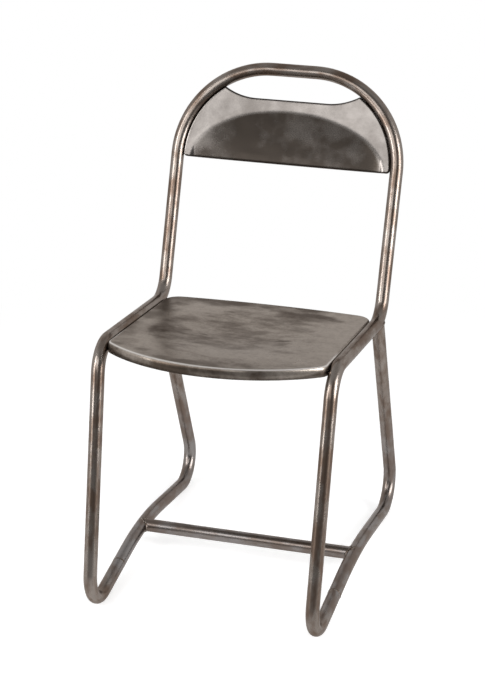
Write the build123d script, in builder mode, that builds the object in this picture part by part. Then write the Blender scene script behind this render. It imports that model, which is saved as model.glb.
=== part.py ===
from build123d import *
from math import atan2, cos, radians, sin, tan
import os

# Side chair of bent steel tube with a pressed seat and back, in millimetres.
# It stands on Z = 0 and faces -Y. X = 0 is its plane of symmetry, and the middle of its
# depth lies at Y = 0. A corner is where two straight runs of a tube's centreline would
# cross if the bend between them were sharp.

# Steel tube
tube_diameter = 22.2
tube_wall = 1.6
touch_gap = 0.2
cut_overrun = 6

# Hoop of the back, in its own leaning plane, which starts at the rear corners of the rails
hoop_recline = 20.9
hoop_rise = 406
hoop_half_width = 194
hoop_bend_radius = 155

# Seat rails, which rise towards the front
rail_half_width = 192.5
rail_rear_height = 406.5
rail_length = 323
rail_slope = 6.2
rear_rail_bend_radius = 47
front_rail_bend_radius = 50

# Front legs, which lean forwards, and the bends that they stand on
front_leg_lean = 12.6
front_foot_half_width = 186
front_foot_bend_radius = 50

# Rear legs, which slant back from the rails to the bends that they stand on
rear_leg_lean = 22.9
rear_leg_setback = 19
rear_foot_half_width = 188.5
rear_foot_bend_radius = 48

# Floor runners, which rise from both floor bends to a shallow crank
front_runner_rise = 8.1
rear_runner_rise = 7.9
crank_half_width = 189.5
crank_bend_radius = 620
floor_flat_depth = 0.4

# Butt joint in each runner, with the sleeve inside it
runner_joint_setback = 153
runner_joint_gap = 0.4
sleeve_wall = 2
sleeve_length = 56
sleeve_clearance = 0.1
ring_weld_width = 4.5
ring_weld_height = 0.7

# Weld round the top of each rear leg and each end of the stretcher: how far it reaches
# from the tube that it runs on, and how far it swells over the tube that ends there
leg_weld_reach = 2.4
leg_weld_swell = 1.7
stretcher_weld_reach = 3
stretcher_weld_swell = 2

# Seat pan: sheet with a turned-down flange and a shallow round dish
seat_sheet = 1.5
seat_height_over_rail = 6
seat_flange_depth = 17
seat_edge_radius = 4.5
seat_front_overhang = 69
seat_rear_overhang = 4
seat_front_arc_radius = 255
seat_rear_arc_radius = 1500
seat_front_corner_radius = 26
seat_rear_corner_radius = 30
seat_dish_margin = 13.2
seat_dish_depth = 7

# Short welds between the seat's flange and the rails
seat_weld_length = 26
seat_weld_radius = 3.2
seat_weld_drop = 6.8
seat_weld_shares = (0.25, 0.52, 0.79)

# Back panel: sheet with a turned-back flange, a hand slot over it and a half-moon dish
panel_sheet = 1.2
panel_front_offset = 5
panel_flange_depth = 8
panel_edge_radius = 3
panel_side_length = 5
panel_corner_radius = 3.5
panel_tip_radius = 2
hand_slot_height = 40
hand_slot_flat = 124
hand_slot_end_radius = 110
panel_dish_half_width = 170
panel_dish_height = 92
panel_dish_depth = 14

# Short welds between the panel's flange and the hoop, at angles round the hoop's bend
panel_weld_sweep = 8
panel_weld_radius = 2.2
panel_weld_setback = 6.4
panel_weld_angles = (3, 24, 43)

tube_radius = tube_diameter / 2
bore_radius = tube_radius - tube_wall


def floor_bend(lean, rise, radius):
    """Height of a floor bend's corner, and how far the bend's centre lies from it.

    A leg that leans by one angle meets a runner that rises by another, and the bend
    between them rests its flat on the floor.
    """
    opening = cos(radians(lean + rise))
    lift = radius * (cos(radians(lean)) + sin(radians(rise))) / opening
    inset = radius * (sin(radians(lean)) + cos(radians(rise))) / opening
    return radius + tube_radius - floor_flat_depth - lift, inset


# Side view of the corners as (Y, Z), with Y from the rear corners of the rails
front_rail = (
    -rail_length * cos(radians(rail_slope)),
    rail_rear_height + rail_length * sin(radians(rail_slope)),
)
front_foot_z, front_foot_inset = floor_bend(front_leg_lean, front_runner_rise, front_foot_bend_radius)
front_leg_run = (front_rail[1] - front_foot_z) * tan(radians(front_leg_lean))
front_foot = (front_rail[0] - front_leg_run, front_foot_z)

rear_leg_top = (-rear_leg_setback, rail_rear_height + rear_leg_setback * tan(radians(rail_slope)))
rear_foot_z, rear_foot_inset = floor_bend(rear_leg_lean, rear_runner_rise, rear_foot_bend_radius)
rear_leg_run = (rear_leg_top[1] - rear_foot_z) * tan(radians(rear_leg_lean))
rear_foot = (rear_leg_top[0] + rear_leg_run, rear_foot_z)

front_grade = tan(radians(front_runner_rise))
rear_grade = tan(radians(rear_runner_rise))
runner_length = rear_foot[0] - front_foot[0]
crank_run = (rear_foot[1] - front_foot[1] + runner_length * rear_grade) / (front_grade + rear_grade)
crank = (front_foot[0] + crank_run, front_foot[1] + crank_run * front_grade)

# The origin moves to the middle of the chair's depth
hoop_back = hoop_rise * sin(radians(hoop_recline))
rear_foot_back = rear_foot[0] - rear_foot_inset + rear_foot_bend_radius
front_foot_front = front_foot[0] + front_foot_inset - front_foot_bend_radius
depth_shift = -(max(hoop_back, rear_foot_back) + front_foot_front) / 2

# Planes of the hoop and of the rails: X is across, Y is up the hoop or back along the rails
hoop_plane = Plane(
    origin=(0, depth_shift, rail_rear_height),
    x_dir=(1, 0, 0),
    z_dir=(0, -cos(radians(hoop_recline)), sin(radians(hoop_recline))),
)
seat_plane = Plane(
    origin=(0, depth_shift, rail_rear_height),
    x_dir=(1, 0, 0),
    z_dir=(0, sin(radians(rail_slope)), cos(radians(rail_slope))),
)


def place(half_width, point):
    """Point of a centreline on the right-hand side of the chair."""
    return Vector(half_width, point[0] + depth_shift, point[1])


# Corners of the tubes on the right-hand side, from the hoop round to the rear leg's top
hoop_corner = hoop_plane.from_local_coords(Vector(hoop_half_width, hoop_rise, 0))
rear_rail_corner = place(rail_half_width, (0, rail_rear_height))
front_rail_corner = place(rail_half_width, front_rail)
front_foot_corner = place(front_foot_half_width, front_foot)
crank_corner = place(crank_half_width, crank)
rear_foot_corner = place(rear_foot_half_width, rear_foot)
rear_leg_end = place(rail_half_width, rear_leg_top)

runner_direction = (crank_corner - front_foot_corner).normalized()
joint_middle = front_foot_corner + runner_direction * runner_joint_setback
joint_front = joint_middle - runner_direction * runner_joint_gap / 2
joint_rear = joint_middle + runner_direction * runner_joint_gap / 2


def rod(corners, bend_radius, radius):
    """Solid round bar along a bend and the runs beside it, to cut copes and welds with."""
    with BuildPart() as bar:
        with BuildLine() as path:
            FilletPolyline(*corners, radius=bend_radius)
        with BuildSketch(Plane(origin=path.line @ 0, z_dir=path.line % 0)):
            Circle(radius)
        sweep()
    return bar.part


def rail_bend(radius):
    """Bar along the bend from rail to hoop."""
    half_rail = (rear_rail_corner + front_rail_corner) / 2
    half_upright = (rear_rail_corner + hoop_corner) / 2
    return rod([half_rail, rear_rail_corner, half_upright], rear_rail_bend_radius, radius)


def crank_bend(radius):
    """Bar along a runner, from its butt joint over the crank."""
    return rod([joint_rear, crank_corner, (crank_corner + rear_foot_corner) / 2], crank_bend_radius, radius)


# Floor, which wears a flat into each of the four bends that touch it
with BuildPart() as floor:
    with BuildSketch():
        Rectangle(4 * rail_half_width, 4 * runner_length)
    extrude(amount=-cut_overrun)

# Main tube: hoop, rails, front legs and the first stretch of both runners in one length
right_corners = [hoop_corner, rear_rail_corner, front_rail_corner, front_foot_corner, joint_front]
left_corners = [Vector(-corner.X, corner.Y, corner.Z) for corner in right_corners]
bend_radii = [hoop_bend_radius, rear_rail_bend_radius, front_rail_bend_radius, front_foot_bend_radius]

with BuildPart() as main_frame_tube:
    with BuildLine() as frame_path:
        FilletPolyline(*left_corners[::-1], *right_corners, radius=bend_radii[::-1] + bend_radii)
    with BuildSketch(Plane(origin=frame_path.line @ 0, z_dir=frame_path.line % 0)):
        Circle(tube_radius)
        Circle(bore_radius, mode=Mode.SUBTRACT)
    sweep()
    add(floor.part, mode=Mode.SUBTRACT)
main_frame_tube.part.label = "main_frame_tube"

# Stretcher between the runners, at the top of their cranks, with its ends coped to them
half_turn = radians(front_runner_rise + rear_runner_rise) / 2
stretcher_z = crank[1] - crank_bend_radius * (1 / cos(half_turn) - 1)
stretcher_plane = Plane(origin=(0, crank[0] + depth_shift, stretcher_z), z_dir=(1, 0, 0))

with BuildPart() as stretcher_tube:
    with BuildSketch(stretcher_plane):
        Circle(tube_radius)
        Circle(bore_radius, mode=Mode.SUBTRACT)
    extrude(amount=crank_half_width)
    add(crank_bend(tube_radius), mode=Mode.SUBTRACT)
    mirror(about=Plane.YZ)
stretcher_tube.part.label = "stretcher_tube"

# Outline of the seat pan from above, with its front at the bottom
seat_half_width = rail_half_width - tube_radius - touch_gap
seat_front = rail_length + seat_front_overhang
seat_middle = (seat_rear_overhang - seat_front) / 2
seat_half_length = (seat_rear_overhang + seat_front) / 2

with BuildSketch() as seat_outline:
    with Locations((0, seat_middle)):
        Rectangle(2 * seat_half_width, seat_front + seat_rear_overhang)
    with Locations((0, seat_front_arc_radius - seat_front)):
        Circle(seat_front_arc_radius, mode=Mode.INTERSECT)
    with Locations((0, (seat_rear_overhang + seat_middle) / 2)):
        Rectangle(2 * seat_half_width, seat_rear_overhang - seat_middle)
    with Locations((0, seat_rear_overhang - seat_rear_arc_radius)):
        Circle(seat_rear_arc_radius, mode=Mode.INTERSECT)
    fillet(seat_outline.vertices().group_by(Axis.Y)[0], seat_front_corner_radius)
    fillet(seat_outline.vertices().group_by(Axis.Y)[-1], seat_rear_corner_radius)

# The dish's section is half of an S-curve that is turned about the middle of the seat, and
# its rim stays inside the seat's nearest edges by a margin
seat_dish_radius = min(seat_half_width, seat_half_length) - seat_dish_margin
seat_top = seat_plane.offset(seat_height_over_rail)
dish_middle = seat_top.from_local_coords(Vector(0, seat_middle, 0))
dish_section_plane = Plane(origin=dish_middle, x_dir=(1, 0, 0), z_dir=Vector(1, 0, 0).cross(seat_plane.z_dir))


def seat_dish(drop):
    """Space over the dish, with its rim lowered by drop."""
    with BuildPart() as space:
        with BuildSketch(dish_section_plane):
            with BuildLine():
                half_way = (seat_dish_radius / 2, -drop - seat_dish_depth / 2)
                TangentArc((0, -drop - seat_dish_depth), half_way, tangent=(1, 0))
                TangentArc((seat_dish_radius, -drop), half_way, tangent=(-1, 0))
                Polyline(
                    (seat_dish_radius, -drop),
                    (seat_dish_radius, cut_overrun),
                    (0, cut_overrun),
                    (0, -drop - seat_dish_depth),
                )
            make_face()
        revolve(axis=Axis(dish_middle, seat_plane.z_dir))
    return space.part


# Hollow under the seat's sheet
seat_axis = Axis(dish_middle, seat_plane.z_dir)
with BuildPart() as seat_hollow:
    with BuildSketch(seat_top.offset(-seat_sheet)):
        add(seat_outline.sketch)
        offset(amount=-seat_sheet)
    extrude(amount=seat_sheet - seat_flange_depth - cut_overrun)
    fillet(seat_hollow.faces().sort_by(seat_axis)[-1].edges(), seat_edge_radius - seat_sheet)
    add(seat_dish(seat_sheet), mode=Mode.SUBTRACT)

with BuildPart() as seat_pan:
    with BuildSketch(seat_top):
        add(seat_outline.sketch)
    extrude(amount=-seat_flange_depth)
    fillet(seat_pan.faces().sort_by(seat_axis)[-1].edges(), seat_edge_radius)
    add(seat_dish(0), mode=Mode.SUBTRACT)
    add(seat_hollow.part, mode=Mode.SUBTRACT)
seat_pan.part.label = "seat_pan"

# The back panel fills the inside of the hoop's two bends, is cut off straight at the
# bottom, and is hollowed at the top for the fingers
hoop_splay = atan2(hoop_half_width - rail_half_width, hoop_rise)
bend_centre_x = hoop_half_width - hoop_bend_radius * tan((radians(90) + hoop_splay) / 2)
bend_centre_rise = hoop_rise - hoop_bend_radius
panel_radius = hoop_bend_radius - tube_radius - touch_gap
panel_bottom_rise = bend_centre_rise - panel_side_length
hand_slot_rise = hoop_rise - tube_radius - hand_slot_height


def panel_outline(inset):
    """Outline of the panel in the plane of the hoop, drawn in by inset all round."""
    radius = panel_radius - inset
    with BuildSketch() as outline:
        with Locations((0, bend_centre_rise)):
            SlotCenterToCenter(2 * bend_centre_x, 2 * radius)
            Rectangle(2 * (bend_centre_x + radius), radius, align=(Align.CENTER, Align.MAX))
        with Locations((0, panel_bottom_rise + inset)):
            Rectangle(4 * radius, 4 * radius, align=(Align.CENTER, Align.MAX), mode=Mode.SUBTRACT)
        with Locations((0, hand_slot_rise + hand_slot_end_radius)):
            SlotCenterToCenter(hand_slot_flat, 2 * (hand_slot_end_radius + inset), mode=Mode.SUBTRACT)
        fillet(outline.vertices().group_by(Axis.Y)[0], panel_corner_radius - inset)
        fillet(outline.vertices().group_by(Axis.Y)[-1], panel_tip_radius - inset)
    return outline.sketch


# The half-moon dish is a shallow bowl, curved across by one radius and upwards by another,
# which runs out of the panel's bottom edge
panel_front = hoop_plane.offset(panel_front_offset)
bowl_radius = (panel_dish_half_width**2 + panel_dish_depth**2) / (2 * panel_dish_depth)
bowl_axis_distance = bowl_radius - panel_dish_depth
bowl_bottom = panel_front.from_local_coords(Vector(0, panel_bottom_rise, 0))
bowl_plane = Plane(origin=bowl_bottom, x_dir=hoop_plane.z_dir, z_dir=(-1, 0, 0))
bowl_axis = Axis(bowl_bottom + hoop_plane.z_dir * bowl_axis_distance, hoop_plane.y_dir)
bowl_turn = 12

with BuildPart() as bowl:
    with BuildSketch(bowl_plane):
        with BuildLine():
            TangentArc((-panel_dish_depth, 0), (0, panel_dish_height), tangent=(0, 1))
            Polyline(
                (0, panel_dish_height),
                (cut_overrun, panel_dish_height),
                (cut_overrun, -cut_overrun),
                (-panel_dish_depth, -cut_overrun),
                (-panel_dish_depth, 0),
            )
        make_face()
    revolve(axis=bowl_axis, revolution_arc=bowl_turn)
    mirror(about=Plane.YZ)


def pushed_back(depth):
    """The bowl, moved straight back through the panel."""
    return bowl.part.moved(Location(hoop_plane.z_dir * -depth))


# Hollow behind the panel's sheet
panel_axis = Axis(bowl_bottom, hoop_plane.z_dir)
with BuildPart() as panel_hollow:
    with BuildSketch(panel_front.offset(-panel_sheet)):
        add(panel_outline(panel_sheet))
    extrude(amount=-panel_flange_depth - panel_dish_depth)
    fillet(panel_hollow.faces().sort_by(panel_axis)[-1].edges(), panel_edge_radius - panel_sheet)
    add(pushed_back(panel_sheet), mode=Mode.SUBTRACT)

# Behind the dish the flange keeps its depth, so its edge follows the bowl
with BuildPart() as dish_flange:
    with BuildSketch(panel_front.offset(-panel_edge_radius)):
        add(panel_outline(0))
    extrude(amount=-panel_flange_depth - panel_dish_depth)
    add(pushed_back(panel_flange_depth), mode=Mode.INTERSECT)

with BuildPart() as back_panel:
    with BuildSketch(panel_front):
        add(panel_outline(0))
    extrude(amount=-panel_flange_depth)
    fillet(back_panel.faces().sort_by(panel_axis)[-1].edges(), panel_edge_radius)
    add(dish_flange.part)
    add(bowl.part, mode=Mode.SUBTRACT)
    add(panel_hollow.part, mode=Mode.SUBTRACT)
back_panel.part.label = "back_panel"

# Rear leg tube: runner, floor bend and leg, coped to the bend above it
with BuildPart() as rear_leg_tube:
    with BuildLine() as leg_path:
        FilletPolyline(
            joint_rear,
            crank_corner,
            rear_foot_corner,
            rear_leg_end,
            radius=[crank_bend_radius, rear_foot_bend_radius],
        )
    with BuildSketch(Plane(origin=leg_path.line @ 0, z_dir=leg_path.line % 0)):
        Circle(tube_radius)
        Circle(bore_radius, mode=Mode.SUBTRACT)
    sweep()
    add(rail_bend(tube_radius), mode=Mode.SUBTRACT)
    add(floor.part, mode=Mode.SUBTRACT)
rear_leg_tube.part.label = "rear_leg_tube"

# Weld round the coped top of the rear leg
half_leg = (rear_leg_end - rear_foot_corner) / 2
leg_plane = Plane(origin=rear_foot_corner + half_leg, z_dir=half_leg)

with BuildPart() as rear_leg_weld:
    with BuildSketch(leg_plane):
        Circle(tube_radius + leg_weld_swell)
    extrude(amount=half_leg.length)
    add(rail_bend(tube_radius + leg_weld_reach), mode=Mode.INTERSECT)
    with BuildSketch(leg_plane):
        Circle(tube_radius)
    extrude(amount=half_leg.length, mode=Mode.SUBTRACT)
    add(rail_bend(tube_radius), mode=Mode.SUBTRACT)
rear_leg_weld.part.label = "rear_leg_weld"

# Weld round the stretcher's end
with BuildPart() as stretcher_weld:
    with BuildSketch(stretcher_plane):
        Circle(tube_radius + stretcher_weld_swell)
    extrude(amount=crank_half_width)
    add(crank_bend(tube_radius + stretcher_weld_reach), mode=Mode.INTERSECT)
    with BuildSketch(stretcher_plane):
        Circle(tube_radius)
    extrude(amount=crank_half_width, mode=Mode.SUBTRACT)
    add(crank_bend(tube_radius), mode=Mode.SUBTRACT)
stretcher_weld.part.label = "stretcher_weld"

# Sleeve inside the runner's butt joint
sleeve_radius = bore_radius - sleeve_clearance
with BuildPart() as runner_sleeve:
    with BuildSketch(Plane(origin=joint_middle, z_dir=runner_direction)):
        Circle(sleeve_radius)
        Circle(sleeve_radius - sleeve_wall, mode=Mode.SUBTRACT)
    extrude(amount=sleeve_length / 2, both=True)
runner_sleeve.part.label = "runner_sleeve"

# Ring of weld round the butt joint, which fills the gap between the two tubes
with BuildPart() as runner_weld:
    with BuildSketch(Plane(origin=joint_middle, x_dir=runner_direction, z_dir=(1, 0, 0))):
        with BuildLine():
            ThreePointArc(
                (ring_weld_width / 2, tube_radius),
                (0, tube_radius + ring_weld_height),
                (-ring_weld_width / 2, tube_radius),
            )
            Polyline(
                (-ring_weld_width / 2, tube_radius),
                (-runner_joint_gap / 2, tube_radius),
                (-runner_joint_gap / 2, bore_radius),
                (runner_joint_gap / 2, bore_radius),
                (runner_joint_gap / 2, tube_radius),
                (ring_weld_width / 2, tube_radius),
            )
        make_face()
    revolve(axis=Axis(joint_middle, runner_direction))
runner_weld.part.label = "runner_weld"

# Short welds under the seat's edge, in the groove between its flange and the rail
with BuildPart() as seat_welds:
    for share in seat_weld_shares:
        bead_middle = Vector(seat_half_width, -share * rail_length, -seat_weld_drop)
        with BuildSketch(Plane(origin=seat_plane.from_local_coords(bead_middle), z_dir=seat_plane.y_dir)):
            Circle(seat_weld_radius)
        extrude(amount=seat_weld_length / 2, both=True)
    with BuildSketch(Plane(origin=rear_rail_corner, z_dir=front_rail_corner - rear_rail_corner)):
        Circle(tube_radius)
    extrude(amount=rail_length, mode=Mode.SUBTRACT)
    with BuildSketch(seat_top):
        add(seat_outline.sketch)
    extrude(amount=-seat_flange_depth, mode=Mode.SUBTRACT)
seat_welds.part.label = "seat_welds"

# Short welds behind the back panel, in the groove between its flange and the hoop
bend_centre = Vector(bend_centre_x, bend_centre_rise, 0)
bend_middle = hoop_plane.from_local_coords(bend_centre)
bend_axis = Axis(bend_middle, hoop_plane.z_dir)
with BuildPart() as back_panel_welds:
    for angle in panel_weld_angles:
        turned = radians(angle)
        out = Vector(cos(turned), sin(turned), 0)
        bead_centre = bend_centre + out * panel_radius - Vector(0, 0, panel_weld_setback)
        across = hoop_plane.from_local_coords(bend_centre + out) - bend_middle
        bead_plane = Plane(
            origin=hoop_plane.from_local_coords(bead_centre),
            x_dir=hoop_plane.z_dir,
            z_dir=across.cross(hoop_plane.z_dir),
        )
        with BuildSketch(bead_plane):
            Circle(panel_weld_radius)
        revolve(axis=bend_axis, revolution_arc=panel_weld_sweep)
    top_middle = Vector(0, hoop_corner.Y, hoop_corner.Z)
    add(rod([rear_rail_corner, hoop_corner, top_middle], hoop_bend_radius, tube_radius), mode=Mode.SUBTRACT)
    with BuildSketch(panel_front):
        add(panel_outline(0))
    extrude(amount=-panel_flange_depth - panel_dish_depth, mode=Mode.SUBTRACT)
back_panel_welds.part.label = "back_panel_welds"

os.makedirs("parts", exist_ok=True)
for piece in (main_frame_tube, stretcher_tube, seat_pan, back_panel):
    export_step(piece.part, f"parts/{piece.part.label}.step")

# The pieces of the right-hand side come again on the left, mirrored
for piece in (
    rear_leg_tube,
    rear_leg_weld,
    stretcher_weld,
    runner_sleeve,
    runner_weld,
    seat_welds,
    back_panel_welds,
):
    node = piece.part.label
    piece.part.label = f"right_{node}"
    export_step(piece.part, f"parts/{piece.part.label}.step")
    with BuildPart() as left_piece:
        mirror(piece.part, about=Plane.YZ)
    left_piece.part.label = f"left_{node}"
    export_step(left_piece.part, f"parts/{left_piece.part.label}.step")
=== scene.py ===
from math import atan2, cos, exp, hypot, pi, radians, sin, sqrt, tan

import bmesh
import bpy
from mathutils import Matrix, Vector, noise


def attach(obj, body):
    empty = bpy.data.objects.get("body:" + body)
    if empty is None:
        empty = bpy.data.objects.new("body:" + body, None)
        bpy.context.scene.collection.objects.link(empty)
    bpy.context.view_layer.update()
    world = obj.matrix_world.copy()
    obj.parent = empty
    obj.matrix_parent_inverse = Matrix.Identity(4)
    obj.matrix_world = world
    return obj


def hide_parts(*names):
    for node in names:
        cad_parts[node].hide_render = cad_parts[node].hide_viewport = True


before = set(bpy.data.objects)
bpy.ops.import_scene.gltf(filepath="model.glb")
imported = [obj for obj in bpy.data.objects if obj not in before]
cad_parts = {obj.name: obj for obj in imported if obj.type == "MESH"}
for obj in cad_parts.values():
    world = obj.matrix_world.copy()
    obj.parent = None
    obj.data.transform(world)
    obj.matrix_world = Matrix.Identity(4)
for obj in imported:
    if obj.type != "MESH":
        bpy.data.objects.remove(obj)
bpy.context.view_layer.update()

# The camera looks down on the chair from its front right-hand side, and a little to the
# left of its middle, through a long lens. Lengths are in metres.
camera_azimuth = radians(16.7)
camera_elevation = radians(22.2)
camera_distance = 3.5044
camera_target = Vector((-0.0097, -0.0040, 0.3905))
lens_millimetres = 110.41

backwards = Vector((
    sin(camera_azimuth) * cos(camera_elevation),
    -cos(camera_azimuth) * cos(camera_elevation),
    sin(camera_elevation),
))
camera_data = bpy.data.cameras.new("photograph_camera")
camera_data.lens = lens_millimetres
camera_data.clip_end = 50
camera = bpy.data.objects.new("photograph_camera", camera_data)
camera.location = camera_target + backwards * camera_distance
camera.rotation_euler = backwards.to_track_quat("Z", "Y").to_euler()
bpy.context.scene.collection.objects.link(camera)
bpy.context.scene.camera = camera
bpy.context.scene.view_settings.view_transform = "Standard"


# The studio is a white room with a pale floor that keeps the chair's shadow. The steel mirrors
# it darker behind the camera and overhead. A tall soft lamp on each side gives every tube two
# streaks, and two weaker ones in front light the back panel, the hoop and the stretcher.
class Signal:
    """The output of a node, which Python's arithmetic turns into Math nodes."""

    def __init__(self, nodes, socket):
        self.nodes = nodes
        self.socket = socket

    def out(self, name):
        return Signal(self.nodes, self.socket.node.outputs[name])

    def math(self, operation, first, second):
        kind = "ShaderNodeVectorMath" if self.socket.type == "VECTOR" else "ShaderNodeMath"
        return self.nodes.add(kind, {"operation": operation}, {0: first, 1: second})

    def __add__(self, other):
        return self.math("ADD", self, other)

    def __radd__(self, other):
        return self.math("ADD", other, self)

    def __sub__(self, other):
        return self.math("SUBTRACT", self, other)

    def __rsub__(self, other):
        return self.math("SUBTRACT", other, self)

    def __mul__(self, other):
        return self.math("MULTIPLY", self, other)

    def __rmul__(self, other):
        return self.math("MULTIPLY", other, self)

    def __truediv__(self, other):
        return self.math("DIVIDE", self, other)

    def __rtruediv__(self, other):
        return self.math("DIVIDE", other, self)


class Nodes:
    """Adds nodes to one tree: of a finish, of the studio or of a shape."""

    def __init__(self, tree):
        self.tree = tree

    def add(self, kind, settings=None, inputs=None, output=0):
        made = self.tree.nodes.new(kind)
        for name, value in (settings or {}).items():
            setattr(made, name, value)
        for name, value in (inputs or {}).items():
            if isinstance(value, Signal):
                self.tree.links.new(value.socket, made.inputs[name])
            else:
                made.inputs[name].default_value = value
        return Signal(self, made.outputs[output]) if len(made.outputs) else made

    def mix(self, share, first, second):
        """The first colour where share is 0, and the second where it is 1."""
        first, second = [(*v, 1) if isinstance(v, tuple) else v for v in (first, second)]
        return self.add("ShaderNodeMix", {"data_type": "RGBA"}, {0: share, 6: first, 7: second}, 2)

    def ramp(self, value, low, high):
        """0 below low and 1 above high, with a smooth step between."""
        return self.add(
            "ShaderNodeMapRange",
            {"interpolation_type": "SMOOTHSTEP"},
            {"Value": value, "From Min": low, "From Max": high},
        )

    def cloud(self, vector, scale, detail=3, roughness=0.55):
        """Noise from 0 to 1 over a vector in metres: scale is in patches per metre."""
        return self.add(
            "ShaderNodeTexNoise",
            {},
            {"Vector": vector, "Scale": scale, "Detail": detail, "Roughness": roughness},
        )

    def stretch(self, vector, x, y, z):
        return self.add("ShaderNodeMapping", {}, {"Vector": vector, "Scale": (x, y, z)})


def seen(nodes, ray):
    """1 for rays that show the studio, and 0 for those that carry its light to the chair."""
    shown = ray.out("Is Camera Ray") + ray.out("Is Glossy Ray") + ray.out("Is Transmission Ray")
    return nodes.ramp(shown, 0.1, 0.9)


def forward(place):
    """How far a place or a direction lies toward the camera's side of the chair."""
    return place.out("X") * 0.29 - place.out("Y") * 0.95


room_light = 0.4
far_end_dimming = 0.80
overhead_dimming = 0.40
world = bpy.data.worlds.new("white_room")
world.use_nodes = True
world.node_tree.nodes.clear()
room = Nodes(world.node_tree)
ray = room.add("ShaderNodeLightPath")
way = room.add("ShaderNodeSeparateXYZ", {}, {"Vector": room.add("ShaderNodeTexCoord")})
far_end = ray.out("Is Glossy Ray") * room.ramp(forward(way) + way.out("Z") * 0.1, 0.35, 0.80)
overhead = ray.out("Is Glossy Ray") * room.ramp(way.out("Z"), 0.45, 0.90)
dimmed = (1 - far_end * far_end_dimming) * (1 - overhead * overhead_dimming)
strength = (room_light + seen(room, ray) * (1 - room_light)) * dimmed
white_air = room.add("ShaderNodeBackground", {}, {"Color": (1, 1, 1, 1), "Strength": strength})
room.add("ShaderNodeOutputWorld", {}, {"Surface": white_air})
bpy.context.scene.world = world

floor_half = 6.0
floor_grey = (0.66, 0.66, 0.66, 1)
floor_glow = 0.57
floor_in_front = 0.3
floor_finish = bpy.data.materials.new("pale_floor")
floor_finish.use_nodes = True
floor_finish.node_tree.nodes.clear()
ground = Nodes(floor_finish.node_tree)
ray = ground.add("ShaderNodeLightPath")
spot = ground.add("ShaderNodeTexCoord", {}, {}, "Object")
away = ground.add("ShaderNodeVectorMath", {"operation": "LENGTH"}, {0: spot}, "Value")
matt = ground.add("ShaderNodeBsdfDiffuse", {}, {"Color": floor_grey})
glow = ground.add("ShaderNodeEmission", {}, {"Color": (1, 1, 1, 1), "Strength": floor_glow})
white = ground.add("ShaderNodeEmission", {}, {"Color": (1, 1, 1, 1), "Strength": 1.0})
dark = ground.add("ShaderNodeEmission", {}, {"Color": (1, 1, 1, 1), "Strength": floor_in_front})
lifted = ground.add("ShaderNodeAddShader", {}, {0: matt, 1: glow})
lifted = ground.add("ShaderNodeMixShader", {}, {0: ground.ramp(away, 0.5, 1.3), 1: lifted, 2: white})
across = ground.add("ShaderNodeSeparateXYZ", {}, {"Vector": spot})
in_front = ray.out("Is Glossy Ray") * ground.ramp(forward(across), 0.1, 0.8) * 0.9
lifted = ground.add("ShaderNodeMixShader", {}, {0: in_front, 1: lifted, 2: dark})
surface = ground.add("ShaderNodeMixShader", {}, {0: seen(ground, ray), 1: matt, 2: lifted})
ground.add("ShaderNodeOutputMaterial", {}, {"Surface": surface})

floor_corners = [(x * floor_half, y * floor_half, 0) for x, y in ((-1, -1), (1, -1), (1, 1), (-1, 1))]
floor_mesh = bpy.data.meshes.new("studio_floor")
floor_mesh.from_pydata(floor_corners, [], [(0, 1, 2, 3)])
floor_mesh.materials.append(floor_finish)
floor = bpy.data.objects.new("studio_floor", floor_mesh)
bpy.context.scene.collection.objects.link(floor)

lamp_distance = 2.6
lamp_aim = Vector((0, 0, 0.45))
for name, azimuth, elevation, width, height, power in (
    ("left_lamp", -46, 15, 0.8, 2.1, 43),
    ("right_lamp", 76, 14, 1.1, 2.2, 72),
    ("front_lamp", -9, 29, 1.4, 1.2, 17),
    ("low_front_lamp", 3, 11, 0.8, 0.25, 3),
):
    lamp_data = bpy.data.lights.new(name, "AREA")
    lamp_data.shape = "RECTANGLE"
    lamp_data.size = width
    lamp_data.size_y = height
    lamp_data.energy = power
    turn, tip = radians(azimuth), radians(elevation)
    out = Vector((sin(turn) * cos(tip), -cos(turn) * cos(tip), sin(tip)))
    lamp = bpy.data.objects.new(name, lamp_data)
    lamp.location = lamp_aim + out * lamp_distance
    lamp.rotation_euler = out.to_track_quat("Z", "Y").to_euler()
    lamp.visible_camera = False
    bpy.context.scene.collection.objects.link(lamp)

# The main tube is one length of bare furniture tube, bent eight times: the hoop of the
# back, both seat rails, both front legs and the start of both floor runners. Its corners
# are where the straight runs would cross.
tube_radius = 0.0111
main_corners = (
    ((0.1940, 0.2749, 0.7858), 0.155),
    ((0.1925, 0.1301, 0.4065), 0.047),
    ((0.1925, -0.1910, 0.4414), 0.050),
    ((0.1860, -0.2894, 0.0010), 0.050),
)
right_joint = (0.1880, -0.1379, 0.0225)
soot = (0.030, 0.021, 0.016)
# The colour of a painted highlight: bright steel, painted along an edge where a line of light should run.
painted_highlight_steel = (0.680, 0.650, 0.620)


def new_finish(name):
    """A material without nodes yet, and what adds them."""
    finish = bpy.data.materials.new(name)
    finish.use_nodes = True
    finish.node_tree.nodes.clear()
    return finish, Nodes(finish.node_tree)


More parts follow.
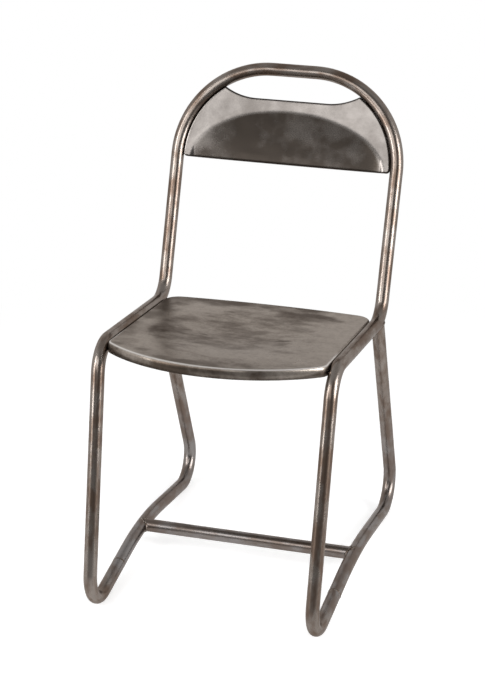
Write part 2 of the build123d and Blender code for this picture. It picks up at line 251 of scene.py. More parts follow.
def patina(nodes, brown_share, lines, place, light, brown, roughness, grime, painted_highlight=0):
    """Finishes a steel, light where it is clean and brown by brown_share: where it is stained,
    and on the seat and panel also where a shade is painted. Brown share and lines are its
    patterns, from 0 to 1, grime says how strong the fine dirt on it is, and painted_highlight is
    1 where a painted highlight turns it to bright steel."""
    mottle = nodes.ramp(nodes.cloud(place, 95, 3, 0.6), 0.35, 0.75)
    pits = nodes.ramp(nodes.cloud(place, 620, 2, 0.6), 0.66, 0.76)
    colour = nodes.mix(brown_share, light, brown)
    dirt = (mottle * 0.5 + nodes.ramp(lines, 0.40, 0.75) * 0.5) * grime
    colour = nodes.mix(dirt, colour, tuple(v * 0.6 for v in brown))
    colour = nodes.mix(pits * grime, colour, soot)
    colour = nodes.mix(painted_highlight, colour, painted_highlight_steel)
    height = lines * 0.08 + mottle * 0.4 - pits * 0.03
    bump = {"Height": height, "Strength": 0.10 * grime, "Distance": 0.0002}
    shader = nodes.add("ShaderNodeBsdfPrincipled", {}, {
        "Base Color": colour,
        "Metallic": 1 - pits * grime * 0.4,
        "Roughness": roughness + brown_share * 0.06 + lines * 0.05 + pits * grime * 0.12 + painted_highlight * 0.12,
        "Normal": nodes.add("ShaderNodeBump", {}, bump),
        "Specular Tint": (0.66, 0.63, 0.61, 1),
    })
    nodes.add("ShaderNodeOutputMaterial", {}, {"Surface": shader})


def new_tree(name, inputs, output):
    """A tree of Geometry Nodes with its named inputs, a finish and one output."""
    tree = bpy.data.node_groups.new(name, "GeometryNodeTree")
    for label, kind in (*inputs, ("Finish", "NodeSocketMaterial")):
        tree.interface.new_socket(label, in_out="INPUT", socket_type=kind)
    tree.interface.new_socket(output, in_out="OUTPUT", socket_type="NodeSocketGeometry")
    shape = Nodes(tree)
    return tree, shape, shape.add("NodeGroupInput")


def end_tree(shape, given, output, made):
    """Ends a tree with real geometry in its finish."""
    made = shape.add("GeometryNodeRealizeInstances", {}, {"Geometry": made})
    made = shape.add("GeometryNodeSetMaterial", {}, {"Geometry": made, "Material": given.out("Finish")})
    shape.add("NodeGroupOutput", {}, {output: made})


def noted(shape, name, kind):
    """A value that the shape's points carry."""
    return shape.add("GeometryNodeInputNamedAttribute", {"data_type": kind}, {"Name": name})


def note(shape, geometry, name, kind, value):
    """Lets the shape's points carry a value."""
    return shape.add(
        "GeometryNodeStoreNamedAttribute",
        {"data_type": kind, "domain": "POINT"},
        {"Geometry": geometry, "Name": name, "Value": value},
    )


def tube_tree():
    """Geometry Nodes that bend a run of straight lines and sweep a round tube along it. The
    tube is worn flat where it would pass through the floor. Its grain holds the way along it
    and the place across it, so that drawn lines follow its bends."""
    tree, shape, given = new_tree("bent_tube", (
        ("Corners", "NodeSocketGeometry"),
        ("Tube radius", "NodeSocketFloat"),
        ("Steps in a bend", "NodeSocketInt"),
        ("Steps round the tube", "NodeSocketInt"),
    ), "Tube")
    line = shape.add("GeometryNodeMeshToCurve", {}, {"Mesh": given.out("Corners")})
    line = shape.add("GeometryNodeFilletCurve", {"mode": "POLY"}, {
        "Curve": line,
        "Count": given.out("Steps in a bend"),
        "Radius": noted(shape, "bend_radius", "FLOAT"),
    })
    length = shape.add("GeometryNodeSplineParameter").out("Length")
    line = note(shape, line, "along", "FLOAT", length)
    ring = shape.add("GeometryNodeCurvePrimitiveCircle", {"mode": "RADIUS"}, {
        "Resolution": given.out("Steps round the tube"),
        "Radius": given.out("Tube radius"),
    })
    ring = note(shape, ring, "around", "FLOAT_VECTOR", shape.add("GeometryNodeInputPosition"))
    tube = shape.add("GeometryNodeCurveToMesh", {}, {
        "Curve": line,
        "Profile Curve": ring,
        "Fill Caps": True,
    })
    around = shape.add("ShaderNodeSeparateXYZ", {}, {"Vector": noted(shape, "around", "FLOAT_VECTOR")})
    grain = shape.add("ShaderNodeCombineXYZ", {}, {
        "X": noted(shape, "along", "FLOAT"),
        "Y": around.out("X"),
        "Z": around.out("Y"),
    })
    tube = note(shape, tube, "grain", "FLOAT_VECTOR", grain)
    spot = shape.add("ShaderNodeSeparateXYZ", {}, {"Vector": shape.add("GeometryNodeInputPosition")})
    height = shape.add("ShaderNodeMath", {"operation": "MAXIMUM"}, {0: spot.out("Z"), 1: 0.0})
    worn = shape.add("ShaderNodeCombineXYZ", {}, {"X": spot.out("X"), "Y": spot.out("Y"), "Z": height})
    tube = shape.add("GeometryNodeSetPosition", {}, {"Geometry": tube, "Position": worn})
    tube = shape.add("GeometryNodeSetShadeSmooth", {}, {"Geometry": tube})
    end_tree(shape, given, "Tube", tube)
    return tree


bent_tube = tube_tree()


def settle(name, maker, tree, values):
    """Runs a tree of Geometry Nodes on an object, and keeps a plain mesh in its stead."""
    bpy.context.scene.collection.objects.link(maker)
    modifier = maker.modifiers.new("shape", "NODES")
    modifier.node_group = tree
    sockets = {item.name: item.identifier for item in tree.interface.items_tree if item.in_out == "INPUT"}
    for key, value in values.items():
        modifier[sockets[key]] = value
    bpy.context.view_layer.update()
    seen_by = bpy.context.evaluated_depsgraph_get()
    mesh = bpy.data.meshes.new_from_object(maker.evaluated_get(seen_by))
    mesh.name = name
    bpy.data.objects.remove(maker)
    piece = bpy.data.objects.new(name, mesh)
    bpy.context.scene.collection.objects.link(piece)
    return piece


def bend_tube(name, corners, finish):
    """A tube through corners, which are pairs of a place and a bend radius."""
    mesh = bpy.data.meshes.new(name + "_corners")
    mesh.from_pydata([c[0] for c in corners], [(i, i + 1) for i in range(len(corners) - 1)], [])
    radii = mesh.attributes.new("bend_radius", "FLOAT", "POINT")
    for i, (point, radius) in enumerate(corners):
        radii.data[i].value = radius
    maker = bpy.data.objects.new(name + "_corners", mesh)
    return settle(name, maker, bent_tube, {
        "Tube radius": tube_radius,
        "Steps in a bend": 28,
        "Steps round the tube": 48,
        "Finish": finish,
    })


def mirrored(corners):
    """The same corners on the chair's left side."""
    return [((-x, y, z), radius) for (x, y, z), radius in corners]


tube_steel, look = new_finish("worn_tube_steel")
place = look.add("ShaderNodeTexCoord", {}, {}, "Object")
grain = look.add("ShaderNodeAttribute", {"attribute_name": "grain"}, {}, "Vector")
lines = look.cloud(look.stretch(grain, 0.05, 1, 1), 260, 2, 0.5)
brown_share = look.cloud(look.stretch(grain, 0.30, 1, 1), 90, 4) * 0.5 + look.cloud(place, 15, 3) * 0.5
spot = look.add("ShaderNodeSeparateXYZ", {}, {"Vector": place})
low_down = (1 - look.ramp(spot.out("Z"), 0.05, 0.30)) * look.ramp(spot.out("Y"), -0.25, -0.15)
light = look.mix(low_down, (0.232, 0.203, 0.182), (0.218, 0.203, 0.197))
brown_share = look.ramp(brown_share, 0.40, 0.60) * (1 - low_down * 0.25)
patina(look, brown_share, lines, place, light, brown=(0.124, 0.089, 0.069), roughness=0.23, grime=0.16)
right_side = [*main_corners, (right_joint, 0)]
main_tube = bend_tube("main_tube", mirrored(right_side)[::-1] + right_side, tube_steel)
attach(main_tube, "root")
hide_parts("main_frame_tube")

# Each rear leg is a second tube: it carries the runner on over a shallow crank, turns up
# at the floor and slants forward to the rail, where it is coped to the bend.
leg_corners = (
    (right_joint, 0),
    ((0.1895, -0.0111, 0.0409), 0.620),
    ((0.1885, 0.2850, -0.0001), 0.048),
    ((0.1926, 0.1103, 0.4110), 0),
)
for side, corners in (("right", list(leg_corners)), ("left", mirrored(leg_corners))):
    leg = bend_tube(side + "_leg", corners, tube_steel)
    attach(leg, "root")
    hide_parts(side + "_rear_leg_tube")

# The stretcher is a straight length of the same tube. It joins the two runners where they
# crank, and its ends are coped to them.
stretcher_end = (0.1889, -0.0116, 0.03445)
straight = [(stretcher_end, 0)]
stretcher = bend_tube("stretcher", mirrored(straight) + straight, tube_steel)
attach(stretcher, "root")
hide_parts("stretcher_tube")

# The seat is pressed from one steel sheet, with a turned-down flange and a shallow round
# dish. Short welds hold its flange to the rails. Its places are measured across the chair,
# and back and up from the corner between rail and upright.
seat_slope = radians(6.2)
seat_origin = Vector((0, 0.13006, 0.4065))
seat_back = Vector((0, cos(seat_slope), -sin(seat_slope)))
seat_up = Vector((0, sin(seat_slope), cos(seat_slope)))
seat_half = 0.1812
seat_lift = 0.0060
seat_front = 0.392
seat_rear = 0.004
seat_front_radius = 0.255
seat_front_corner = 0.026
seat_rear_radius = 1.500
seat_rear_corner = 0.030
seat_edge = 0.0045
seat_flange = 0.017
seat_sheet = 0.0015
dish_radius = 0.168
dish_depth = 0.007
dish_centre = (seat_rear - seat_front) / 2
corner_steps = 12
side_steps = 40
front_steps = 60
edge_steps = 7
sheet_rings = 56
fade_rings = 6
seat_waves = ((0.0007, 9, 0.3), (0.0003, 26, 5.1))
seat_dents = (
    (0.060, -0.190, 0.010, 0.0007),
    (-0.045, -0.120, 0.012, 0.0006),
    (0.118, -0.225, 0.009, 0.0006),
)


def arc(centre, radius, start, end, steps):
    """Points along an arc, without the one at its end."""
    turns = [start + (end - start) * i / steps for i in range(steps)]
    return [(centre[0] + radius * cos(turn), centre[1] + radius * sin(turn)) for turn in turns]


def seat_loop(inset):
    """Outline of the seat from above, drawn in by inset, anticlockwise from the front right."""
    front = (0, seat_front_radius - seat_front)
    rear = (0, seat_rear - seat_rear_radius)
    across = seat_half - seat_front_corner
    front_right = (across, front[1] - sqrt((seat_front_radius - seat_front_corner) ** 2 - across ** 2))
    across = seat_half - seat_rear_corner
    rear_right = (across, rear[1] + sqrt((seat_rear_radius - seat_rear_corner) ** 2 - across ** 2))
    front_turn = atan2(front_right[1] - front[1], front_right[0])
    rear_turn = atan2(rear_right[1] - rear[1], rear_right[0])
    side = seat_half - inset
    long = rear_right[1] - front_right[1]
    loop = arc(front_right, seat_front_corner - inset, front_turn, 0, corner_steps)
    loop += [(side, front_right[1] + long * i / side_steps) for i in range(side_steps)]
    loop += arc(rear_right, seat_rear_corner - inset, 0, rear_turn, corner_steps)
    loop += arc(rear, seat_rear_radius - inset, rear_turn, pi - rear_turn, side_steps)
    loop += [(-x, y) for x, y in arc(rear_right, seat_rear_corner - inset, rear_turn, 0, corner_steps)]
    loop += [(-side, rear_right[1] - long * i / side_steps) for i in range(side_steps)]
    loop += [(-x, y) for x, y in arc(front_right, seat_front_corner - inset, 0, front_turn, corner_steps)]
    loop += arc(front, seat_front_radius - inset, -pi - front_turn, front_turn, front_steps)
    return loop


def seat_drop(x, y):
    """How far the dish lowers the seat at a place."""
    out = min(hypot(x, y - dish_centre), dish_radius)
    half, rise = dish_radius / 2, dish_depth / 2
    radius = (half * half + rise * rise) / (2 * rise)
    if out < half:
        return dish_depth - radius + sqrt(radius * radius - out * out)
    return radius - sqrt(radius * radius - (dish_radius - out) ** 2)


def waves(x, y, layers):
    """Soft waves in a sheet. Each layer has its depth, its waves per metre and a start."""
    return sum(depth * noise.noise(Vector((x * often, y * often, start))) for depth, often, start in layers)


def seat_unevenness(x, y):
    """Hammered and leaned-on sheet isn't flat: soft waves, and a few small dents."""
    rise = waves(x, y, seat_waves)
    for dent_x, dent_y, size, depth in seat_dents:
        rise -= depth * exp(-((x - dent_x) ** 2 + (y - dent_y) ** 2) / size ** 2)
    return rise


def seat_shell(lift, edge, inset, low):
    """Rings of points from the flange's lower edge over the rounded edge to the middle. The
    waves fade in over the first few rings inside the edge."""
    rings = [[(x, y, low) for x, y in seat_loop(inset)]]
    for i in range(edge_steps + 1):
        turn = pi / 2 * i / edge_steps
        height = lift - edge + edge * sin(turn)
        rings.append([(x, y, height) for x, y in seat_loop(inset + edge * (1 - cos(turn)))])
    base = seat_loop(inset + edge)
    for i in range(1, sheet_rings):
        share = 1 - i / sheet_rings
        fade = min(1, i / fade_rings)
        ring = []
        for x, y in base:
            x, y = x * share, dish_centre + (y - dish_centre) * share
            ring.append((x, y, lift - seat_drop(x, y) + seat_unevenness(x, y) * fade))
        rings.append(ring)
    return rings, (0, dish_centre, lift - dish_depth + seat_unevenness(0, dish_centre))


def closed_shell(name, outer, inner, place):
    """A closed sheet: each of its two sides is rings and the point in their middle, and a
    strip joins the sides' first rings."""
    points, faces = [], []
    for rings, pole in (outer, inner):
        for ring in rings:
            points += [place(*p) for p in ring]
        points.append(place(*pole))
    count = len(outer[0][0])
    size = count * len(outer[0]) + 1
    for part, (rings, pole) in enumerate((outer, inner)):
        start = part * size
        for r in range(len(rings) - 1):
            for i in range(count):
                a, b = start + r * count + i, start + r * count + (i + 1) % count
                faces.append((a, b, b + count, a + count) if part == 0 else (b, a, a + count, b + count))
        last = start + (len(rings) - 1) * count
        for i in range(count):
            a, b = last + i, last + (i + 1) % count
            faces.append((a, b, start + size - 1) if part == 0 else (b, a, start + size - 1))
    for i in range(count):
        j = (i + 1) % count
        faces.append((j, i, size + i, size + j))
    mesh = bpy.data.meshes.new(name)
    mesh.from_pydata(points, [], faces)
    mesh.shade_smooth()
    mesh.validate()
    piece = bpy.data.objects.new(name, mesh)
    bpy.context.scene.collection.objects.link(piece)
    return piece


def on_seat(x, y, z):
    """Turns a place measured on the seat into one in the chair."""
    return seat_origin + Vector((x, 0, 0)) + seat_back * y + seat_up * z


def mark_edge(mesh, count, rings):
    """Marks a sheet's flange and rolled edge up to the given ring as flange, which the finishes
    paint darker as a painted shade, and the top of that edge as worn, where the seat's finish paints a
    highlight of bright steel."""
    flange = mesh.attributes.new("flange", "FLOAT", "POINT")
    worn = mesh.attributes.new("worn", "FLOAT", "POINT")
    for i in range(count * rings):
        ring = i // count - rings + 1
        flange.data[i].value = 1 if ring < -2 else 0.5 if ring < -1 else 0
        worn.data[i].value = {-4: 0.3, -3: 0.9, -2: 1, -1: 0.5, 0: 0.1}.get(ring, 0)


dish_middle_y = on_seat(0, dish_centre, 0).y
seat_steel, look = new_finish("worn_seat_steel")
place = look.add("ShaderNodeTexCoord", {}, {}, "Object")
# worn marks where the seat's finish paints its highlight along the rolled edge.
worn = look.add("ShaderNodeAttribute", {"attribute_name": "worn"}, {}, "Fac")
spot = look.add("ShaderNodeSeparateXYZ", {}, {"Vector": place})
swirl = look.cloud(place, 16, 3)
brown_share = look.cloud(place, 9, 4, 0.6) * 0.5 + look.cloud(look.stretch(place, 0.6, 1, 1), 34, 4, 0.6) * 0.5
brown_share = look.ramp(brown_share, 0.40, 0.60)
raggedness = 2.4


def mark(x, y, wide, deep, blur, clouds=swirl):
    """1 inside a soft-edged patch of the seat, which the clouds pull out of shape. It lies
    round x and y in the chair, and reaches wide to each side and deep to front and rear."""
    right = (spot.out("X") - x) / wide
    back = (spot.out("Y") - y) / deep
    return 1 - look.ramp(right * right + back * back + (clouds - 0.5) * raggedness, 1 - blur, 1 + blur)


# On the left, a light band along the dish's rim and a darker one just inside it are painted: a painted
# highlight and a painted shade of the dish's curve.
from_middle = look.add("ShaderNodeCombineXYZ", {}, {"X": spot.out("X"), "Y": spot.out("Y") - dish_middle_y})
out = look.add("ShaderNodeVectorMath", {"operation": "LENGTH"}, {0: from_middle}, "Value") + swirl * 0.030
rim_painted_highlight = look.ramp(out, 0.150, 0.166) * (1 - look.ramp(out, 0.172, 0.190))
rim_painted_shade = look.ramp(out, 0.120, 0.150) * (1 - look.ramp(out, 0.152, 0.168))
left_side = 1 - look.ramp(spot.out("X"), -0.05, 0.06)
brown_share = brown_share * 0.72 + (rim_painted_shade * 0.14 - rim_painted_highlight * 0.5) * left_side
# Darker towards the rear edge, and lighter towards the right side, a painted highlight where the seat
# catches the light from the right.
brown_share = brown_share + look.ramp(spot.out("Y"), 0.080, 0.116) * 0.35
brown_share = brown_share - look.ramp(spot.out("X"), 0.06, 0.17) * 0.7

# Single stains, and lighter patches, which are painted highlights, where darker is below 0.
for x, y, wide, deep, blur, darker in (
    (0.088, 0.078, 0.060, 0.026, 0.8, 0.9),
    (-0.157, 0.075, 0.030, 0.050, 0.8, 0.4),
    (-0.098, -0.100, 0.050, 0.035, 0.9, 0.25),
    (0.020, 0.070, 0.060, 0.020, 0.9, -0.4),
    (-0.144, -0.153, 0.050, 0.030, 0.8, -0.4),
    (-0.115, 0.050, 0.050, 0.030, 0.8, -0.4),
    (0.060, -0.170, 0.110, 0.030, 0.8, -0.6),
):
    brown_share = brown_share + mark(x, y, wide, deep, blur) * darker
rough_edge = look.cloud(place, 90, 2)
large_nick = mark(0.077, -0.062, 0.013, 0.004, 0.7, rough_edge)
small_nick = mark(-0.052, -0.072, 0.006, 0.003, 0.7, rough_edge)
flange = look.add("ShaderNodeAttribute", {"attribute_name": "flange"}, {}, "Fac")
# The seat's flange is painted darker, a painted shade, and the top of its rolled front edge is painted as
# bright steel, a painted highlight.
patina(
    look,
    brown_share=brown_share + (large_nick + small_nick * 0.6) * 0.8 + flange * 0.25,
    lines=look.cloud(place, 240, 4),
    place=place,
    light=(0.332, 0.292, 0.256),
    brown=(0.074, 0.056, 0.043),
    roughness=0.31,
    grime=0.40,
    painted_highlight=worn * (1 - look.ramp(spot.out("Y"), -0.135, -0.095)),
)
seat_low = seat_lift - seat_flange
seat = closed_shell(
    "seat",
    seat_shell(seat_lift, seat_edge, 0, seat_low),
    seat_shell(seat_lift - seat_sheet, seat_edge - seat_sheet, seat_sheet, seat_low),
    on_seat,
)
mark_edge(seat.data, len(seat_loop(0)), edge_steps + 2)
seat.data.materials.append(seat_steel)
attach(seat, "root")
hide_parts("seat_pan")

# The back panel is pressed from thinner sheet steel, fills the inside of the hoop under the
# hand slot, and has a half-moon dish. Short welds behind it hold it to the hoop. Its places
# are measured across the chair, up along the uprights from that corner, and forward.
panel_recline = radians(20.9)
panel_up = Vector((0, sin(panel_recline), cos(panel_recline)))
panel_forward = Vector((0, -cos(panel_recline), sin(panel_recline)))
panel_lift = 0.005
panel_edge = 0.003
panel_flange = 0.008
panel_sheet = 0.0012
panel_bottom = 0.246
panel_top_radius = 0.1437
panel_bend = (0.03843, 0.251)
panel_corner = 0.0065
panel_tip = 0.0020
least_tip = 0.0002
moon_half = 0.170
moon_height = 0.092
moon_depth = 0.014
moon_rounding = 0.0030
moon_steepest_share = 0.0625
moon_floor_share = 0.3
slot_flat = 0.124
slot_radius = 0.110
slot_low = 0.3549
shoulder_steps = 70
tip_steps = 6
slot_steps = 30
panel_edge_steps = 6
panel_rows = 56
same_place = 0.000002
panel_waves = ((0.0004, 14, 2.7), (0.0002, 40, 7.3))


def on_hoop(x, y, z):
    """Turns a place measured on the panel into one in the chair."""
    return seat_origin + Vector((x, 0, 0)) + panel_up * y + panel_forward * z


def crossing(first, first_radius, second, second_radius):
    """Where two circles cross, on the left of the line from the first one's middle to the
    second one's."""
    dx, dy = second[0] - first[0], second[1] - first[1]
    apart = hypot(dx, dy)
    along = (first_radius ** 2 - second_radius ** 2 + apart ** 2) / (2 * apart)
    off = sqrt(first_radius ** 2 - along ** 2)
    return first[0] + (dx * along - dy * off) / apart, first[1] + (dy * along + dx * off) / apart


def panel_columns(inset):
    """Right half of the panel's outline, drawn in by inset, as columns from the side to the
    middle: the place across, the height of the lower edge and that of the upper one."""
    corner, tip = panel_corner - inset, max(panel_tip - inset, least_tip)
    slot_centre = (slot_flat / 2, slot_low + slot_radius)
    corner_centre = (panel_bend[0] + panel_top_radius - panel_corner, panel_bottom + panel_corner)
    slot_reach, top_reach = slot_radius + inset + tip, panel_top_radius - inset - tip
    tip_centre = crossing(slot_centre, slot_reach, panel_bend, top_reach)
    leave = atan2(tip_centre[1] - panel_bend[1], tip_centre[0] - panel_bend[0])
    meet = atan2(tip_centre[1] - slot_centre[1], tip_centre[0] - slot_centre[0])
    top = arc(panel_bend, panel_top_radius - inset, 0, leave, shoulder_steps)
    top += arc(tip_centre, tip, leave, meet + pi, tip_steps)
    top += arc(slot_centre, slot_radius + inset, meet, -pi / 2, slot_steps)
    top += [(slot_centre[0] * (1 - i / slot_steps), slot_low - inset) for i in range(slot_steps + 1)]
    columns = []
    for x, high in top:
        out = min(max(x - corner_centre[0], 0), corner)
        columns.append((x, corner_centre[1] - sqrt(corner * corner - out * out), high))
    return columns


def moon_drop(x, y):
    """How far the half-moon is pressed back at a place: its wall is steep at the sides, and
    its floor slopes back to the panel's lower edge."""
    level = sqrt(max(1 - (x / moon_half) ** 2, moon_steepest_share))
    up = max(y - panel_bottom, 0) / (moon_height * level)
    inside = 1 - (x / moon_half) ** 2 - ((y - panel_bottom) / moon_height) ** 2
    inside = (inside + sqrt(inside * inside + moon_rounding)) / 2
    return moon_depth * inside / level * (1 + moon_floor_share * up) / (1 + up)


def panel_side(lift, edge, inset):
    """One side of the sheet: rings over its rolled edge, then columns inside them."""
    turns = [pi / 2 * i / panel_edge_steps for i in range(panel_edge_steps + 1)]
    drawn_in = [inset] + [inset + edge * (1 - cos(turn)) for turn in turns]
    lifts = [panel_lift - panel_flange] + [lift - edge + edge * sin(turn) for turn in turns]
    points, faces = [], []
    for ring_inset, z in zip(drawn_in, lifts):
        half = panel_columns(ring_inset)
        x, low, high = half[0]
        side = [(x, low + (high - low) * i / panel_rows) for i in range(1, panel_rows)]
        right = [(x, low) for x, low, high in half[::-1]] + side + [(x, high) for x, low, high in half]
        loop = right + [(-x, y) for x, y in right[-2:0:-1]]
        points += [on_hoop(x, y, z - moon_drop(x, y)) for x, y in loop]
    count = len(loop)
    for r in range(len(lifts) - 1):
        for i in range(count):
            a, b = r * count + i, r * count + (i + 1) % count
            faces.append((a, b, b + count, a + count))
    columns = [(-x, low, high) for x, low, high in half[:-1]] + half[::-1]
    first = len(points)
    for x, low, high in columns:
        for i in range(panel_rows + 1):
            y = low + (high - low) * i / panel_rows
            fade = min(1, i / fade_rings, (panel_rows - i) / fade_rings)
            points.append(on_hoop(x, y, lift - moon_drop(x, y) + waves(x, y, panel_waves) * fade))
    for c in range(len(columns) - 1):
        for i in range(panel_rows):
            a = first + c * (panel_rows + 1) + i
            faces.append((a, a + panel_rows + 1, a + panel_rows + 2, a + 1))
    return points, faces, count


panel_steel, look = new_finish("worn_panel_steel")
place = look.add("ShaderNodeTexCoord", {}, {}, "Object")
spot = look.add("ShaderNodeSeparateXYZ", {}, {"Vector": place})
height = (spot.out("Z") - seat_origin.z) / cos(panel_recline)
across = spot.out("X") / moon_half
up = (height - panel_bottom) / moon_height
pressed = look.ramp(1 - across * across - up * up, -0.02, 0.12)
brown_share = look.ramp(look.cloud(place, 10, 3) * 0.6 + look.cloud(place, 30, 3) * 0.4, 0.34, 0.66)
rolled = look.add("ShaderNodeAttribute", {"attribute_name": "flange"}, {}, "Fac")
# The pressed half-moon is painted darker than the rim, a painted shade where it turns away from the light.
# It has stains in it, and is less dark on its left, a painted highlight. The rolled edge and its flange are
# painted darker still, a painted shade in the seam along the hoop.
moon_shade_and_stains = 0.57 + brown_share * 0.42 + look.ramp(spot.out("X"), -0.13, -0.05) * 0.14
patina(
    look,
    brown_share=pressed * moon_shade_and_stains + (1 - pressed) * brown_share * 0.50 + rolled * 1.2,
    lines=look.cloud(look.stretch(place, 0.5, 1, 1), 300, 3),
    place=place,
    light=(0.215, 0.198, 0.186),
    brown=(0.046, 0.038, 0.032),
    roughness=0.20,
    grime=0.12,
)
points, faces, count = panel_side(panel_lift, panel_edge, 0)
rear_points, rear_faces, count = panel_side(panel_lift - panel_sheet, panel_edge - panel_sheet, panel_sheet)
size = len(points)
faces += [tuple(size + i for i in face[::-1]) for face in rear_faces]
faces += [((i + 1) % count, i, size + i, size + (i + 1) % count) for i in range(count)]
mesh = bpy.data.meshes.new("back")
mesh.from_pydata(points + rear_points, [], faces)
mark_edge(mesh, count, panel_edge_steps + 2)
sheet = bmesh.new()
sheet.from_mesh(mesh)
bmesh.ops.remove_doubles(sheet, verts=sheet.verts, dist=same_place)
sheet.to_mesh(mesh)
sheet.free()
mesh.shade_smooth()
panel = bpy.data.objects.new("back", mesh)
bpy.context.scene.collection.objects.link(panel)
panel.data.materials.append(panel_steel)
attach(panel, "root")
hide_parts("back_panel")

# The sleeves line up the tubes inside the runners' butt joints, where nobody sees them. A
# ring of weld closes each joint: like every weld here it is a row of overlapping ripples,
# left dark and unground.
sleeve_steel, look = new_finish("drawn_sleeve_steel")
place = look.add("ShaderNodeTexCoord", {}, {}, "Object")
drawn = look.cloud(look.stretch(place, 1, 0.05, 1), 400, 3)
patina(
    look,
    brown_share=look.ramp(drawn, 0.4, 0.6),
    lines=drawn,
    place=place,
    light=(0.300, 0.280, 0.260),
    brown=(0.200, 0.180, 0.160),
    roughness=0.25,
    grime=0.3,
)
for side in ("left", "right"):
    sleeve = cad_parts[side + "_runner_sleeve"]
    sleeve.data.materials.clear()
    sleeve.data.materials.append(sleeve_steel)

weld_steel, look = new_finish("dark_weld_steel")
place = look.add("ShaderNodeTexCoord", {}, {}, "Object")
patina(
    look,
    brown_share=look.ramp(look.cloud(place, 240, 3), 0.40, 0.60),
    lines=look.cloud(place, 500),
    place=place,
    light=(0.200, 0.176, 0.158),
    brown=(0.090, 0.066, 0.051),
    roughness=0.24,
    grime=0.4,
)


def bead_tree():
    """Geometry Nodes that lay a row of overlapping ripples along a path, each a little uneven,
    with its length along the path and its height out from the metal."""
    tree, shape, given = new_tree("weld_bead", (
        ("Path", "NodeSocketGeometry"),
        ("Ripple spacing", "NodeSocketFloat"),
        ("Ripple size", "NodeSocketVector"),
        ("Seed", "NodeSocketInt"),
    ), "Bead")
    line = shape.add("GeometryNodeMeshToCurve", {}, {"Mesh": given.out("Path")})
    line = shape.add("GeometryNodeResampleCurve", {"mode": "LENGTH"}, {
        "Curve": line,
        "Length": given.out("Ripple spacing"),
    })
    turned = shape.add("FunctionNodeAlignRotationToVector", {"axis": "X"}, {
        "Vector": shape.add("GeometryNodeInputTangent"),
    })
    turned = shape.add("FunctionNodeAlignRotationToVector", {"axis": "Z", "pivot_axis": "X"}, {
        "Rotation": turned,
        "Vector": noted(shape, "outward", "FLOAT_VECTOR"),
    })
    uneven = shape.add("FunctionNodeRandomValue", {"data_type": "FLOAT_VECTOR"}, {
        0: (0.90, 0.90, 0.85),
        1: (1.10, 1.10, 1.15),
        "Seed": given.out("Seed"),
    })
    ripple = shape.add("GeometryNodeMeshUVSphere", {}, {"Segments": 14, "Rings": 8, "Radius": 1.0})
    ripple = shape.add("GeometryNodeSetShadeSmooth", {}, {"Geometry": ripple})
    bead = shape.add("GeometryNodeInstanceOnPoints", {}, {
        "Points": line,
        "Instance": ripple,
        "Rotation": turned,
        "Scale": uneven * given.out("Ripple size"),
    })
    end_tree(shape, given, "Bead", bead)
    return tree


weld_bead = bead_tree()
spacing_share = 0.55


def lay_bead(name, node, paths, closed, size, seed):
    """Lays a weld along each of the paths, which are lists of a point and the way out from
    the metal there. Size is a ripple's half length, half width and half height."""
    points, edges, ways = [], [], []
    for path in paths:
        first = len(points)
        points += [point for point, way in path]
        ways += [way for point, way in path]
        edges += [(i, i + 1) for i in range(first, len(points) - 1)]
        if closed:
            edges.append((len(points) - 1, first))
    mesh = bpy.data.meshes.new(name + "_path")
    mesh.from_pydata(points, edges, [])
    outward = mesh.attributes.new("outward", "FLOAT_VECTOR", "POINT")
    for i, way in enumerate(ways):
        outward.data[i].vector = way
    bead = settle(name, bpy.data.objects.new(name + "_path", mesh), weld_bead, {
        "Ripple spacing": size[0] * spacing_share,
        "Ripple size": size,
        "Seed": seed,
        "Finish": weld_steel,
    })
    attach(bead, "root")
    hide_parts(node)


def left_of(path):
    """The same path on the chair's left side."""
    return [(Vector((-p.x, p.y, p.z)), Vector((-way.x, way.y, way.z))) for p, way in path]


def lay_pair(name, node, paths, closed, size, seed):
    """Lays a weld on the chair's right side and another like it on the left."""
    lay_bead("right_" + name, "right_" + node, paths, closed, size, seed)
    lay_bead("left_" + name, "left_" + node, [left_of(path) for path in paths], closed, size, seed + 1)


def round_about(centre, axis, radius, turn):
    """A place on the circle round an axis, and the way out there."""
    across = axis.cross(Vector((0, 0, 1))).normalized()
    way = across * cos(turn) + across.cross(axis) * sin(turn)
    return centre + way * radius, way


ring_sunk = 0.0002
ring_steps = 48
right_ring_ripple = (0.0015, 0.0021, 0.0007)
left_ring_ripple = (0.0015, 0.0021, 0.0004)
joint = Vector(right_joint)
runner_way = (Vector(leg_corners[1][0]) - joint).normalized()
ring_turns = [2 * pi * i / ring_steps for i in range(ring_steps)]
ring = [round_about(joint, runner_way, tube_radius - ring_sunk, turn) for turn in ring_turns]
lay_bead("right_joint_ring", "right_runner_weld", [ring], True, right_ring_ripple, 1)
lay_bead("left_joint_ring", "left_runner_weld", [left_of(ring)], True, left_ring_ripple, 2)

# The stretcher's coped ends are welded all round to the runners. The bead lies in the groove
# between the two tubes, so it runs in a saddle round the side of the runner.
saddle_steps = 64
saddle_rise = 0.0006
saddle_ripple = (0.0020, 0.0027, 0.0015)
runner_middle = Vector((leg_corners[1][0][0], *stretcher_end[1:]))
saddle = []
for i in range(saddle_steps):
    turn = 2 * pi * i / saddle_steps
    point, way = round_about(Vector(stretcher_end), Vector((1, 0, 0)), tube_radius, turn)
    point.x = runner_middle.x - sqrt(max(tube_radius ** 2 - (point.z - runner_middle.z) ** 2, 0))
    off_runner = (point - runner_middle) * Vector((1, 0, 1))
    out = (way + off_runner.normalized()).normalized()
    saddle.append((point + out * saddle_rise, out))
lay_pair("stretcher_bead", "stretcher_weld", [saddle], True, saddle_ripple, 3)

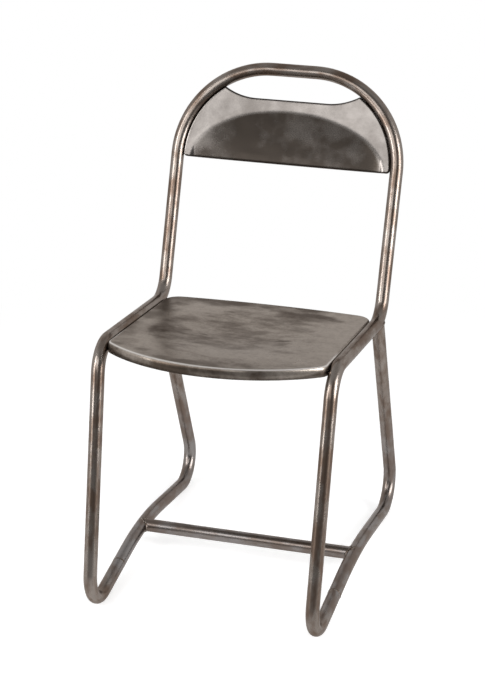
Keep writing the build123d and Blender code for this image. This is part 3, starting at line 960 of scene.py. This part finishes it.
# Each rear leg's coped top is welded all round to the bend above it. The bead's path is found
# by going up each line of the leg's surface until it meets the surface of the bent tube.
collar_steps = 72
collar_rise = 0.0004
collar_search = 0.050
search_step = 0.0002
collar_radius_share = 0.97
collar_ripple = (0.0020, 0.0026, 0.0013)
bend_corner = Vector(main_corners[1][0])
bend_radius = main_corners[1][1]
up_way = (Vector(main_corners[0][0]) - bend_corner).normalized()
rail_way = (Vector(main_corners[2][0]) - bend_corner).normalized()
half_bend = up_way.angle(rail_way) / 2
run_out = bend_radius / tan(half_bend)
bend_middle = bend_corner + (up_way + rail_way).normalized() * bend_radius / sin(half_bend)


def rail_middle(point):
    """The nearest place on the middle line of the bend between rail and upright."""
    for way in (up_way, rail_way):
        along = (point - bend_corner).dot(way)
        if along > run_out:
            return bend_corner + way * along
    flat = point - bend_middle
    flat.x = 0
    return bend_middle + flat.normalized() * bend_radius


leg_foot, leg_top = Vector(leg_corners[2][0]), Vector(leg_corners[3][0])
leg_way = (leg_top - leg_foot).normalized()
collar_start = leg_top - leg_way * collar_search
collar_radius = tube_radius * collar_radius_share
collar = []
for i in range(collar_steps):
    turn = 2 * pi * i / collar_steps
    start, way = round_about(collar_start, leg_way, collar_radius, turn)
    reach = 0
    point = start
    while reach < collar_search and (point - rail_middle(point)).length > tube_radius:
        reach += search_step
        point = start + leg_way * reach
    out = (way + (point - rail_middle(point)).normalized()).normalized()
    collar.append((point + out * collar_rise, out))
lay_pair("leg_bead", "rear_leg_weld", [collar], True, collar_ripple, 5)

# The seat's flange is held to each rail by three short welds, which lie in the groove between
# flange and rail, seen from below.
seat_weld_shares = (0.25, 0.52, 0.79)
seat_weld_half = 0.013
seat_weld_steps = 8
welded_length = 0.323
groove_out = 0.0010
groove_down = 0.0074
seat_ripple = (0.0020, 0.0024, 0.0018)
seat_paths = []
for share in seat_weld_shares:
    path = []
    for i in range(seat_weld_steps + 1):
        y = -share * welded_length + seat_weld_half * (2 * i / seat_weld_steps - 1)
        path.append((on_seat(seat_half + groove_out, y, -groove_down), -seat_up))
    seat_paths.append(path)
lay_pair("seat_beads", "seat_welds", seat_paths, False, seat_ripple, 7)

# Three short welds behind the panel hold each side of its flange to the hoop. Each follows
# the hoop's inside for a few degrees.
panel_weld_starts = (3, 24, 43)
panel_weld_degrees = 8
panel_weld_out = 0.0006
panel_weld_back = 0.0046
panel_ripple = (0.0018, 0.0018, 0.0024)
panel_paths = []
for start in panel_weld_starts:
    path = []
    for i in range(panel_weld_degrees + 1):
        turn = radians(start + i)
        reach = panel_top_radius + panel_weld_out
        x, y = panel_bend[0] + reach * cos(turn), panel_bend[1] + reach * sin(turn)
        path.append((on_hoop(x, y, -panel_weld_back), -panel_forward))
    panel_paths.append(path)
lay_pair("panel_beads", "back_panel_welds", panel_paths, False, panel_ripple, 9)
